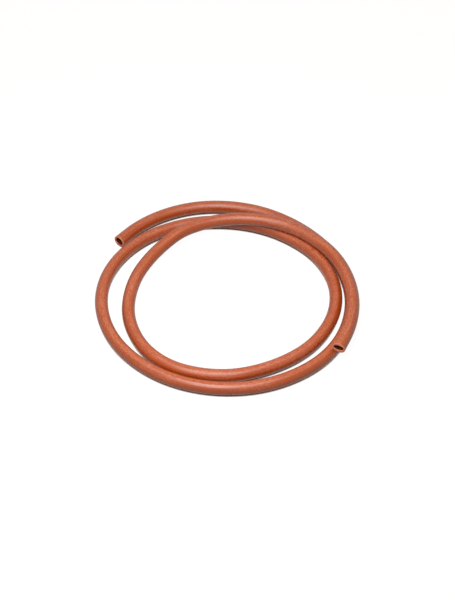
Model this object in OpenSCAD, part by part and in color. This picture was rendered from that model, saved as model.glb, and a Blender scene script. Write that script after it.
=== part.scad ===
// Rubber gas tubing: one length of plain thick-walled hose, laid down in a loose hank of about two
// and a half turns. Millimetres, +Z up. The hank rests on z = 0, with the origin under its middle.

/* [Tube] */
// Inner diameter of the hose
bore_d = 8; // [6:0.5:10]
// Thickness of the rubber between the bore and the outside
wall = 2; // [1.5:0.25:3]
// Straight run of hose behind each cut end
end_len = 13; // [8:1:18]

/* [Coil] */
// Radius from the middle of the hank to its mean turn
coil_r = 110; // [95:1:140]
// Air left between two strands where one lies over the other
lay_gap = 0.3; // [0.3:0.1:1]

/* [Hidden] */

tube_od = bore_d + 2 * wall;

// The hose passes a row of stops that go round clockwise as seen from above, equally spaced by
// angle. The first stop is behind the first cut end.
first_bearing = 140.5;
bearing_step = 29.8;

// Each stop is [lane, layer]. The lane counts hose widths outward from coil_r. The layer is 0
// for a strand on the table and 1 for a strand that lies on top of another.
lay = [
    // first turn, from the end at the upper left, over the far side and down the right
    [1.05, 0], [0.9, 0], [0.5, 0], [0.15, 0], [0.2, 0], [0.55, 0],
    // along the near side and up the left
    [0.85, 0], [0.8, 0], [0.7, 0], [0.65, 0], [0.6, 0], [0.35, 0],
    // second turn, drawn in toward the middle
    [-0.2, 0], [-0.85, 0], [-1.25, 0], [-1.25, 0], [-0.9, 0], [-0.65, 0],
    [-0.65, 0], [-0.7, 0], [-0.5, 0], [-0.5, 0],
    // climbing at the left and passing over both earlier strands at the far side
    [-1.15, 0.05], [-1.95, 0.3], [-2.45, 0.65], [-2.35, 1], [-1.9, 1], [-1.2, 1],
    // lying on the first turn down to the other end
    [-0.4, 1], [0.45, 1], [1.35, 1],
];

// The hose is drawn as straights and bends that stand a hairline crack apart, and a short ring
// inside the wall bridges each crack, so that all of them are one body.
crack = 0.01;
bridge_len = 1;

function unit(v) = v / norm(v);

// ---- where the hose runs ----

function stop(i) =
    let (bearing = first_bearing - i * bearing_step, r = coil_r + lay[i][0] * tube_od)
    [r * cos(bearing), r * sin(bearing), tube_od / 2 + lay[i][1] * (tube_od + lay_gap)];

stops = [for (i = [0:len(lay) - 1]) stop(i)];
last = len(stops) - 1;

// Direction at b of the circle through a, b and c, kept level where the hose is at the foot or at
// the top of a climb.
function heading_through(a, b, c) =
    let (before = b - a, after = c - b)
    let (h = before * norm(after) / norm(before) + after * norm(before) / norm(after))
    unit([h.x, h.y, before.z * after.z > 0 ? h.z : 0]);

// Direction at the far end of an arc that leaves its near end with the given heading.
function heading_mirrored(chord, heading) =
    2 * (heading * unit(chord)) * unit(chord) - heading;

inner_headings = [for (i = [1:last - 1]) heading_through(stops[i - 1], stops[i], stops[i + 1])];
headings = concat(
    [heading_mirrored(stops[1] - stops[0], inner_headings[0])],
    inner_headings,
    [heading_mirrored(stops[last] - stops[last - 1], inner_headings[last - 2])]
);

// Two arcs that run from a to b, leave a along ta, reach b along tb and meet in line between.
// Each is [start, heading at the start, finish].
function arc_pair(a, ta, b, tb) =
    let (v = b - a, p = 2 * (1 - ta * tb), q = v * (ta + tb))
    let (d = p < 1e-9 ? v * v / (2 * q) : (sqrt(q * q + p * (v * v)) - q) / p)
    let (m = (a + b + d * (ta - tb)) / 2)
    [[a, ta, m], [m, unit(v - d * (ta + tb)), b]];

arcs = [for (i = [0:last - 1]) each arc_pair(stops[i], headings[i], stops[i + 1], headings[i + 1])];

// ---- pieces of hose ----

module section(trim) {
    difference() {
        circle(d = tube_od - 2 * trim, $fn = 48);
        circle(d = bore_d + 2 * trim, $fn = 48);
    }
}

// A straight stretch whose middle is at the given point.
module straight(middle, heading, length, trim) {
    translate(middle)
        rotate([0, acos(heading.z), atan2(heading.y, heading.x)])
            linear_extrude(length, center = true)
                section(trim);
}

module bend(arc) {
    heading = arc[1];
    chord = arc[2] - arc[0];
    spin_axis = unit(cross(heading, chord));
    inward = cross(spin_axis, heading);
    r = chord * chord / (2 * (chord * inward));
    centre = arc[0] + r * inward;
    sweep = 2 * atan2(chord * inward, chord * heading);
    half_crack = crack / 2 / r * 180 / PI;
    multmatrix([
        [-inward.x, heading.x, spin_axis.x, centre.x],
        [-inward.y, heading.y, spin_axis.y, centre.y],
        [-inward.z, heading.z, spin_axis.z, centre.z]
    ])
        rotate([0, 0, half_crack])
            rotate_extrude(angle = sweep - 2 * half_crack, $fn = 96)
                translate([r, 0])
                    section(0);
}

module bridge(at, heading) {
    straight(at, heading, bridge_len, wall / 4);
}

// The straight run behind a cut end, from the stop where the bends begin.
module end_run(from, outward) {
    straight(from + outward * (end_len + crack / 2) / 2, outward, end_len - crack / 2, 0);
}

// ---- the hose ----

module tubing() {
    color("#c4603f") {
        end_run(stops[0], -headings[0]);
        end_run(stops[last], headings[last]);
        for (arc = arcs) {
            bend(arc);
            bridge(arc[0], arc[1]);
        }
        bridge(stops[last], headings[last]);
    }
}

tubing();
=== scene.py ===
import math

import bmesh
import bpy
from mathutils import Matrix, Vector, noise


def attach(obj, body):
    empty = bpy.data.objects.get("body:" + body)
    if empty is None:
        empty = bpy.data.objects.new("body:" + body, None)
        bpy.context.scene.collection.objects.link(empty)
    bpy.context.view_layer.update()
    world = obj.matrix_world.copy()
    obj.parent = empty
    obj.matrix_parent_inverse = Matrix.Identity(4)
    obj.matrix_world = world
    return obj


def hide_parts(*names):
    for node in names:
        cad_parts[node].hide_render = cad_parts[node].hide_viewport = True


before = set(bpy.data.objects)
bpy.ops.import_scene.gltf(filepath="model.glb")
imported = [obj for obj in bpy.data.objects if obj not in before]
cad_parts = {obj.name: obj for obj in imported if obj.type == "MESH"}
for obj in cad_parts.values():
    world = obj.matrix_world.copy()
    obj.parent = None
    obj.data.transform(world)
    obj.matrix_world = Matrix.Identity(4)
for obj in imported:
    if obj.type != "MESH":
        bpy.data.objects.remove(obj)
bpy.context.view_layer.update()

print("frame loaded")


def addObject(name, data):
    made = bpy.data.objects.new(name, data)
    bpy.context.scene.collection.objects.link(made)
    return made


view = {
    "lookAt": (0.0013, -0.0045, 0.0),
    "elevation": 45.74,      # degrees above the table
    "distance": 1.426,
    "lens": 91.9,            # mm
    "sensor": 36.0,          # mm high
    "clip": (0.05, 20.0),
}


def addCamera():
    data = bpy.data.cameras.new("camera")
    data.sensor_fit = "VERTICAL"
    data.sensor_height = view["sensor"]
    data.lens = view["lens"]
    data.clip_start, data.clip_end = view["clip"]
    camera = addObject("camera", data)
    tilt = math.radians(view["elevation"])
    back = Vector((0.0, -math.cos(tilt), math.sin(tilt)))
    camera.location = Vector(view["lookAt"]) + back * view["distance"]
    camera.rotation_euler = (math.radians(90.0) - tilt, 0.0, 0.0)
    bpy.context.scene.camera = camera


addCamera()
print("camera set")


# A number that varies over a surface. Sums on it add Math nodes.
class Amount:
    def __init__(self, finish, socket):
        self.finish = finish
        self.socket = socket

    def maths(self, operation, *terms):
        inputs = {count: term for count, term in enumerate(terms)}
        return self.finish.add("ShaderNodeMath", {"operation": operation}, inputs)

    def __add__(self, other):
        return self.maths("ADD", self, other)

    def __radd__(self, other):
        return self.maths("ADD", other, self)

    def __sub__(self, other):
        return self.maths("SUBTRACT", self, other)

    def __rsub__(self, other):
        return self.maths("SUBTRACT", other, self)

    def __mul__(self, other):
        return self.maths("MULTIPLY", self, other)

    def __rmul__(self, other):
        return self.maths("MULTIPLY", other, self)


class Finish:
    def __init__(self, name, owner=None):
        self.owner = owner or bpy.data.materials.new(name)
        self.owner.use_nodes = True
        self.nodes = self.owner.node_tree.nodes
        self.links = self.owner.node_tree.links
        self.nodes.clear()

    # Adds a node: first its settings, then the values or links of its sockets.
    # Gives back the output named, or the first one.
    def add(self, kind, settings=None, inputs=None, output=0):
        node = self.nodes.new(kind)
        for key, value in (settings or {}).items():
            if key == "stops":
                self.setStops(node.color_ramp, value)
            else:
                setattr(node, key, value)
        for key, value in (inputs or {}).items():
            if isinstance(value, Amount):
                self.links.new(value.socket, node.inputs[key])
            else:
                node.inputs[key].default_value = value
        return Amount(self, node.outputs[output]) if node.outputs else None

    def setStops(self, ramp, stops):
        while len(ramp.elements) < len(stops):
            ramp.elements.new(1.0)
        for element, (position, colour) in zip(ramp.elements, stops):
            element.position = position
            element.color = colour

    # A pattern is its waves a metre on each axis, then the noise's detail and roughness.
    def noise(self, where, pattern):
        waves, detail, rough = pattern
        spread = self.add("ShaderNodeVectorMath", {"operation": "MULTIPLY"}, {0: where, 1: waves})
        inputs = {"Vector": spread, "Scale": 1.0, "Detail": detail, "Roughness": rough}
        return self.add("ShaderNodeTexNoise", None, inputs)

    # 0 to 1 as the value goes from the lower edge to the upper one
    def between(self, value, edges):
        settings = {"interpolation_type": "SMOOTHSTEP"}
        low, high = edges
        return self.add("ShaderNodeMapRange", settings, {0: value, 1: low, 2: high})

    def mix(self, share, first, second):
        return self.add("ShaderNodeMix", {"data_type": "RGBA"}, {0: share, 6: first, 7: second}, 2)

    def bump(self, height, strength, depth):
        inputs = {"Strength": strength, "Distance": depth, "Height": height}
        return self.add("ShaderNodeBump", None, inputs, "Normal")

    def close(self, surface):
        self.add("ShaderNodeOutputMaterial", None, {"Surface": surface})
        return self.owner


# Screen levels from 0 to 255 as the linear colour that a node takes
def linear(red, green, blue):
    shares = []
    for level in (red, green, blue):
        share = level / 255
        shares.append(share / 12.92 if share < 0.04045 else ((share + 0.055) / 1.055) ** 2.4)
    return (*shares, 1.0)


# The attribute that says where a point would be if the hose were pulled straight along Z
straightName = "straightened"

# Dull red rubber with a powdery film, and with a painted highlight along its upper side and painted
# shade on its flanks. Its patterns follow the straightened hose, so that the streaks run along it.
skin = {
    "body": linear(195, 88, 30),
    "deep": linear(170, 70, 17),
    # The film's colour, which also paints the highlight on the upper side
    "bloomAndHighlight": linear(216, 136, 110),
    "streaks": ((900.0, 900.0, 30.0), 3.0, 0.6),
    "broad": ((170.0, 170.0, 30.0), 2.0, 0.5),
    "mottle": ((760.0, 760.0, 400.0), 3.0, 0.6),
    "grain": ((2600.0, 2600.0, 1800.0), 2.0, 0.7),
    "handled": ((60.0, 60.0, 24.0), 2.0, 0.5),
    "toneEdges": (0.38, 0.62),
    "paintedTopLightEdges": (0.82, 0.99),          # as shares of the radius
    "patchEdges": (0.44, 0.60),
    "handledEdges": (0.40, 0.66),
    "filmAndHighlight": (0.03, 0.34, 0.36),          # everywhere, more where handled, and on the upper side a painted highlight
    "roughness": (0.33, 0.44),
    "roughEdges": (0.38, 0.62),
    "specular": 0.62,
    "bump": (0.5, 0.00025),              # strength and depth
}


def skinFinish(radius):
    finish = Finish("rubberSkin")
    place = finish.add("ShaderNodeAttribute", {"attribute_name": straightName}, None, "Vector")
    streaks = finish.noise(place, skin["streaks"])
    broad = finish.noise(place, skin["broad"])
    mottle = finish.noise(place, skin["mottle"])
    grain = finish.noise(place, skin["grain"])
    handled = finish.noise(place, skin["handled"])

    # The side that lies uppermost is painted lighter and pinker, as a highlight, and the flanks
    # deeper, as shade. Straightened, it is the -X side.
    across = finish.add("ShaderNodeSeparateXYZ", None, {0: place}, "X")
    paintedTopLight = finish.between(across * (-1 / radius), skin["paintedTopLightEdges"])

    tone = finish.between(0.35 * streaks + 0.35 * broad + 0.3 * mottle, skin["toneEdges"])
    # Painted shade: half of this mix sends the flanks to the deep colour and the upper side to the
    # body colour; the other half is tone at random.
    colour = finish.mix(0.5 * tone + 0.5 * paintedTopLight, skin["deep"], skin["body"])
    everywhere, whereHandled, wherePaintedTopLight = skin["filmAndHighlight"]
    worn = finish.between(handled, skin["handledEdges"])
    patches = finish.between(0.45 * mottle + 0.35 * grain + 0.2 * streaks, skin["patchEdges"])
    filmAndHighlight = patches * (everywhere + whereHandled * worn + wherePaintedTopLight * paintedTopLight)
    colour = finish.mix(filmAndHighlight, colour, skin["bloomAndHighlight"])

    smooth, dull = skin["roughness"]
    dullness = finish.between(0.4 * streaks + 0.6 * handled, skin["roughEdges"])
    height = 0.5 * streaks + 0.4 * grain + 0.1 * mottle
    surface = finish.add("ShaderNodeBsdfPrincipled", None, {
        "Base Color": colour,
        "Roughness": smooth + (dull - smooth) * dullness,
        "Specular IOR Level": skin["specular"],
        "Normal": finish.bump(height, *skin["bump"]),
    })
    return finish.close(surface)


# Fresh rubber where the knife went through, marked by its drag. Its pale colour is partly fresh
# rubber's own and partly painted light, brightened for faces turned away from the lamp.
cutFace = {
    "body": linear(252, 172, 136),
    "deep": linear(242, 140, 100),
    "drag": ((900.0, 900.0, 300.0), 3.0, 0.6),
    "grain": ((3200.0, 3200.0, 3200.0), 2.0, 0.7),
    "toneEdges": (0.35, 0.65),
    "roughness": 0.72,
    "specular": 0.3,
    "bump": (0.4, 0.0003),
}


def cutFinish():
    finish = Finish("rubberCut")
    place = finish.add("ShaderNodeTexCoord", None, None, "Object")
    drag = finish.noise(place, cutFace["drag"])
    grain = finish.noise(place, cutFace["grain"])
    tone = finish.between(0.6 * drag + 0.4 * grain, cutFace["toneEdges"])
    surface = finish.add("ShaderNodeBsdfPrincipled", None, {
        "Base Color": finish.mix(tone, cutFace["deep"], cutFace["body"]),
        "Roughness": cutFace["roughness"],
        "Specular IOR Level": cutFace["specular"],
        "Normal": finish.bump(drag + 0.5 * grain, *cutFace["bump"]),
    })
    return finish.close(surface)


# The bore's rubber, painted far darker than the skin: painted shade in the hollow, with streaks of
# random tone.
shadedBoreWall = {
    "body": linear(112, 42, 20),
    "deepShare": 0.6,        # of the body's level, in the darkest streaks
    "streaks": ((700.0, 700.0, 20.0), 2.0, 0.6),
    "toneEdges": (0.35, 0.65),
    "roughness": 0.6,
    "specular": 0.3,
}


def boreFinish():
    finish = Finish("rubberBore")
    place = finish.add("ShaderNodeAttribute", {"attribute_name": straightName}, None, "Vector")
    tone = finish.between(finish.noise(place, shadedBoreWall["streaks"]), shadedBoreWall["toneEdges"])
    deep = tuple(shadedBoreWall["deepShare"] * level for level in shadedBoreWall["body"][:3]) + (1.0,)
    surface = finish.add("ShaderNodeBsdfPrincipled", None, {
        "Base Color": finish.mix(tone, deep, shadedBoreWall["body"]),
        "Roughness": shadedBoreWall["roughness"],
        "Specular IOR Level": shadedBoreWall["specular"],
    })
    return finish.close(surface)


# The route repeats the stops of the CAD model: each is (lane, layer), a lane being one hose
# width outward from the mean turn and layer 1 lying on top of another strand.
hose = {
    "boreD": 0.008,
    "wall": 0.002,
    "endLen": 0.013,
    "coilR": 0.110,
    "firstBearing": 140.5,
    "bearingStep": 29.8,
    "lay": [
        (1.05, 0), (0.9, 0), (0.5, 0), (0.15, 0), (0.2, 0), (0.55, 0),
        (0.85, 0), (0.8, 0), (0.7, 0), (0.65, 0), (0.6, 0), (0.35, 0),
        (-0.2, 0), (-0.85, 0), (-1.25, 0), (-1.25, 0), (-0.9, 0), (-0.65, 0),
        (-0.65, 0), (-0.7, 0), (-0.5, 0), (-0.5, 0),
        (-1.15, 0.05), (-1.95, 0.3), (-2.45, 0.65), (-2.35, 1), (-1.9, 1), (-1.2, 1),
        (-0.4, 1), (0.45, 1), (1.35, 1),
    ],
    "sides": 48,             # faces round the skin, and round the bore
    "ringStep": 0.0026,      # length of one ring of faces
    "fewestRings": 2,        # in a short stretch
    "rimBevel": 0.0003,      # worn edge of the cut faces
    "rimSegments": 3,
    "unevenness": 0.00007,   # how far the skin strays from a true round
    "unevenWaves": 24,       # a metre, along the hose
    "squashRun": 0.040,      # how far back from the upper end the hose is pressed flat
    "skinSquash": 0.09,      # share of the height lost at that end
    "boreSquash": 0.30,
    "squashSpread": 0.55,    # share of that which goes into the width
    "squashSink": 0.5,       # how far the skin sinks, as a share of that
}
tubeD = hose["boreD"] + 2 * hose["wall"]
midWallR = tubeD / 2 - hose["wall"] / 2
upward = Vector((0, 0, 1))
sameHeading = 1e-9           # headings nearer than this make a straight join
samePlace = 1e-6             # corners nearer than this are merged
cutSlot = 1                  # where a finish stands on the piece, the skin's being 0
boreSlot = 2


def stopAt(index):
    lane, layer = hose["lay"][index]
    bearing = math.radians(hose["firstBearing"] - index * hose["bearingStep"])
    r = hose["coilR"] + lane * tubeD
    return Vector((r * math.cos(bearing), r * math.sin(bearing), tubeD * (0.5 + layer)))


# Direction at b of the circle through a, b and c, kept level at the foot and top of the climb
def headingThrough(a, b, c):
    before = b - a
    after = c - b
    heading = before * (after.length / before.length) + after * (before.length / after.length)
    if before.z * after.z <= 0:
        heading.z = 0
    return heading.normalized()


# Direction at the far end of an arc that leaves its near end with the given heading
def headingMirrored(chord, heading):
    along = chord.normalized()
    return 2 * heading.dot(along) * along - heading


# Two arcs that run from a to b, leave a along headingA, reach b along headingB and meet in
# line between. Each is (start, heading there, finish).
def arcPair(a, headingA, b, headingB):
    gap = b - a
    turn = 2 * (1 - headingA.dot(headingB))
    lean = gap.dot(headingA + headingB)
    if turn < sameHeading:
        reach = gap.dot(gap) / (2 * lean)
    else:
        reach = (math.sqrt(lean * lean + turn * gap.dot(gap)) - lean) / turn
    middle = (a + b + reach * (headingA - headingB)) / 2
    onward = (gap - reach * (headingA + headingB)).normalized()
    return [(a, headingA, middle), (middle, onward, b)]


# The route as its start and its stretches, each (heading, length, centre, axis, angle) with
# no centre for a straight one.
def makeRoute():
    stops = [stopAt(i) for i in range(len(hose["lay"]))]
    headings = [headingThrough(*stops[i - 1:i + 2]) for i in range(1, len(stops) - 1)]
    headings.insert(0, headingMirrored(stops[1] - stops[0], headings[0]))
    headings.append(headingMirrored(stops[-1] - stops[-2], headings[-1]))

    start = stops[0] - headings[0] * hose["endLen"]
    stretches = [(headings[0], hose["endLen"], None, None, 0.0)]
    for i in range(len(stops) - 1):
        for near, heading, far in arcPair(stops[i], headings[i], stops[i + 1], headings[i + 1]):
            chord = far - near
            axis = heading.cross(chord).normalized()
            inward = axis.cross(heading)
            r = chord.dot(chord) / (2 * chord.dot(inward))
            angle = 2 * math.atan2(chord.dot(inward), chord.dot(heading))
            stretches.append((heading, r * angle, near + r * inward, axis, angle))
    stretches.append((headings[-1], hose["endLen"], None, None, 0.0))
    return start, stretches


# How far round the straightened hose a point is
def turnOf(place):
    return math.atan2(place.y, place.x) % (2 * math.pi)


# The ring of edges that starts a stretch: round the given place, or on the last stretch's end
def startRing(part, straightened, radius, place, lastRing):
    sides = hose["sides"]
    ring = bmesh.ops.create_circle(part, segments=sides, radius=radius, matrix=place)["verts"]
    for corner, vert in enumerate(ring):
        turned = 2 * math.pi * corner / sides
        vert[straightened] = (radius * math.cos(turned), radius * math.sin(turned), 0)
        if lastRing:
            vert.co = lastRing[corner]


# Draws the ring straight on, or spins it round the bend
def drawRing(part, stretch, steps):
    heading, length, centre, axis, angle = stretch
    edges = part.edges[:]
    if centre is not None:
        bmesh.ops.spin(part, geom=edges, cent=centre, axis=axis, angle=angle, steps=steps)
        return
    for _ in range(steps):
        out = bmesh.ops.extrude_edge_only(part, edges=edges)["geom"]
        moved = [item for item in out if isinstance(item, bmesh.types.BMVert)]
        edges = [item for item in out if isinstance(item, bmesh.types.BMEdge)]
        bmesh.ops.translate(part, vec=heading * (length / steps), verts=moved)


# One ring of the hose as it lies: a little uneven, and pressed flat near the upper end
def settleRing(ring, straightened, radius, centre, heading, along, total):
    across = heading.cross(upward).normalized()
    pressed = max(0.0, 1 - (total - along) / hose["squashRun"])
    pressed = pressed * pressed * (3 - 2 * pressed)
    isBore = radius < midWallR
    flat = hose["boreSquash"] if isBore else hose["skinSquash"]
    for vert in ring:
        place = vert[straightened]
        place.z = along
        spot = Vector((place.x / radius, place.y / radius, along * hose["unevenWaves"]))
        offset = vert.co - centre
        offset *= 1 + noise.noise(spot) * hose["unevenness"] / radius
        sideways = offset.dot(across)
        offset += across * sideways * hose["squashSpread"] * flat * pressed
        offset.z *= 1 - flat * pressed
        if not isBore:
            offset.z -= pressed * flat * radius * hose["squashSink"]
        vert.co = centre + offset
        vert[straightened] = place


# Adds one mesh to another and frees it
def join(whole, part):
    data = bpy.data.meshes.new("part")
    part.to_mesh(data)
    part.free()
    whole.from_mesh(data)
    bpy.data.meshes.remove(data)


# One wall of the hose, skin or bore, and the centres of its rings. Each stretch is made in a
# mesh of its own, which keeps the operators quick, and these are then joined.
def growWall(radius, start, stretches, total):
    whole = bmesh.new()
    whole.verts.layers.float_vector.new(straightName)
    sides = hose["sides"]
    heading = stretches[0][0]
    across = heading.cross(upward).normalized()
    place = Matrix((across, heading.cross(across), heading)).transposed().to_4x4()
    place.translation = start
    lastRing = None
    centres = []
    along = 0.0
    for stretch in stretches:
        heading, length, _, axis, angle = stretch
        steps = max(hose["fewestRings"], round(length / hose["ringStep"]))
        part = bmesh.new()
        straightened = part.verts.layers.float_vector.new(straightName)
        startRing(part, straightened, radius, place, lastRing)
        drawRing(part, stretch, steps)

        # The next stretch starts from the true round, so this is kept before the rings settle.
        part.verts.ensure_lookup_table()
        end = sorted(part.verts[-sides:], key=lambda vert: turnOf(vert[straightened]))
        lastRing = [vert.co.copy() for vert in end]
        for step in range(steps + 1):
            ring = part.verts[step * sides:(step + 1) * sides]
            middle = sum((vert.co for vert in ring), Vector()) / sides
            turn = Matrix.Rotation(angle * step / steps, 3, axis or upward)
            distance = along + length * step / steps
            settleRing(ring, straightened, radius, middle, turn @ heading, distance, total)
            if step or not centres:
                centres.append(middle)
        along += length
        join(whole, part)
    bmesh.ops.remove_doubles(whole, verts=whole.verts, dist=samePlace)
    return whole, centres


# The cut faces, with their edges just broken. The bore's rim stands back while the two rims
# are bridged, since rims in one plane may be joined the wrong way round.
def closeEnds(mesh, path):
    rims = []
    for end, inside in ((path[0], path[1]), (path[-1], path[-2])):
        pair = [edge for edge in mesh.edges if edge.is_boundary
                and (edge.verts[0].co - end).length < tubeD]
        boreRim = {vert for edge in pair for vert in edge.verts
                   if (vert.co - end).length < midWallR}
        back = inside - end
        bmesh.ops.translate(mesh, vec=back, verts=list(boreRim))
        bridge = bmesh.ops.bridge_loops(mesh, edges=pair)["faces"]
        bmesh.ops.translate(mesh, vec=-back, verts=list(boreRim))
        for face in bridge:
            face.material_index = cutSlot
        rims += pair
    bmesh.ops.recalc_face_normals(mesh, faces=mesh.faces)
    broken = bmesh.ops.bevel(mesh, geom=rims, offset=hose["rimBevel"], offset_type="OFFSET",
                             segments=hose["rimSegments"], profile=0.5, affect="EDGES",
                             material=-1)["faces"]
    for face in broken:
        face.material_index = cutSlot


def makeHose():
    start, stretches = makeRoute()
    total = sum(length for _, length, _, _, _ in stretches)
    print("route laid, %d stretches" % len(stretches))

    mesh, path = growWall(tubeD / 2, start, stretches, total)
    bore, _ = growWall(hose["boreD"] / 2, start, stretches, total)
    skinFaces = len(mesh.faces)
    join(mesh, bore)
    mesh.faces.ensure_lookup_table()
    for face in mesh.faces[skinFaces:]:
        face.material_index = boreSlot
    for face in mesh.faces:
        face.smooth = True
    print("walls grown")
    closeEnds(mesh, path)

    data = bpy.data.meshes.new("gasTubing")
    mesh.to_mesh(data)
    mesh.free()
    for finish in (skinFinish(tubeD / 2), cutFinish(), boreFinish()):
        data.materials.append(finish)
    piece = addObject("gasTubing", data)
    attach(piece, "root")
    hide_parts("tubing")
    print("hose made, %.3f m long, %d faces" % (total, len(data.polygons)))


makeHose()


plainWhite = (1.0, 1.0, 1.0, 1.0)
studio = {
    "floorSize": 6.0,
    "floorShade": (0.15, 0.11, 0.09, 1.0),
    "floorGlow": 0.96,       # lifts the bare floor to white in view and in reflections
    "contact": 0.003,        # how near the hose has to be to darken the floor
    "contactSamples": 16,
    "paintedContactShadow": [       # painted contact shadow, from the bare floor to right under the hose
        (0.44, plainWhite),
        (0.57, (0.33, 0.25, 0.20, 1.0)),
        (0.70, (0.03, 0.012, 0.006, 1.0)),
    ],
    "skyLevel": 0.01,
    "softbox": {"power": 4.6, "place": (-0.06, -0.23, 0.6), "size": (0.34, 0.54)},
}


# Light Path's mark for what is seen straight on, in a reflection or through glass
def seenBy(finish):
    return sum(finish.add("ShaderNodeLightPath", None, None, "Is %s Ray" % kind)
               for kind in ("Camera", "Glossy", "Transmission"))


def floorFinish():
    finish = Finish("table")
    diffuse = finish.add("ShaderNodeBsdfDiffuse", None, {"Color": studio["floorShade"]})
    clear = finish.add("ShaderNodeAmbientOcclusion", {"samples": studio["contactSamples"]},
                       {"Distance": studio["contact"]}, "AO")
    # Painted contact shadow: the floor's glow turns dark brown where the hose lies near.
    paintedShadow = finish.add("ShaderNodeValToRGB", {"stops": studio["paintedContactShadow"]}, {"Fac": 1 - clear})
    glow = finish.add("ShaderNodeEmission", None,
                      {"Color": paintedShadow, "Strength": studio["floorGlow"]})
    seen = finish.add("ShaderNodeAddShader", None, {0: diffuse, 1: glow})
    return finish.close(finish.add("ShaderNodeMixShader", None,
                                   {0: seenBy(finish), 1: diffuse, 2: seen}))


def addFloor():
    data = bpy.data.meshes.new("table")
    mesh = bmesh.new()
    bmesh.ops.create_grid(mesh, x_segments=1, y_segments=1, size=studio["floorSize"] / 2)
    mesh.to_mesh(data)
    mesh.free()
    data.materials.append(floorFinish())
    addObject("table", data)


def addLamp(name):
    data = bpy.data.lights.new(name, "AREA")
    data.shape = "RECTANGLE"
    data.size, data.size_y = studio[name]["size"]
    data.energy = studio[name]["power"]
    lamp = addObject(name, data)
    lamp.location = studio[name]["place"]
    lamp.rotation_euler = (-lamp.location).to_track_quat("-Z", "Y").to_euler()


def addSky():
    sky = Finish("sky", bpy.data.worlds.new("sky"))
    dim = sky.add("ShaderNodeBackground", None,
                  {"Color": plainWhite, "Strength": studio["skyLevel"]})
    white = sky.add("ShaderNodeBackground", None, {"Color": plainWhite, "Strength": 1.0})
    mixed = sky.add("ShaderNodeMixShader", None, {0: seenBy(sky), 1: dim, 2: white})
    sky.add("ShaderNodeOutputWorld", None, {"Surface": mixed})
    bpy.context.scene.world = sky.owner


addFloor()
addLamp("softbox")
addSky()
bpy.context.scene.view_settings.view_transform = "Standard"
print("table and light set")
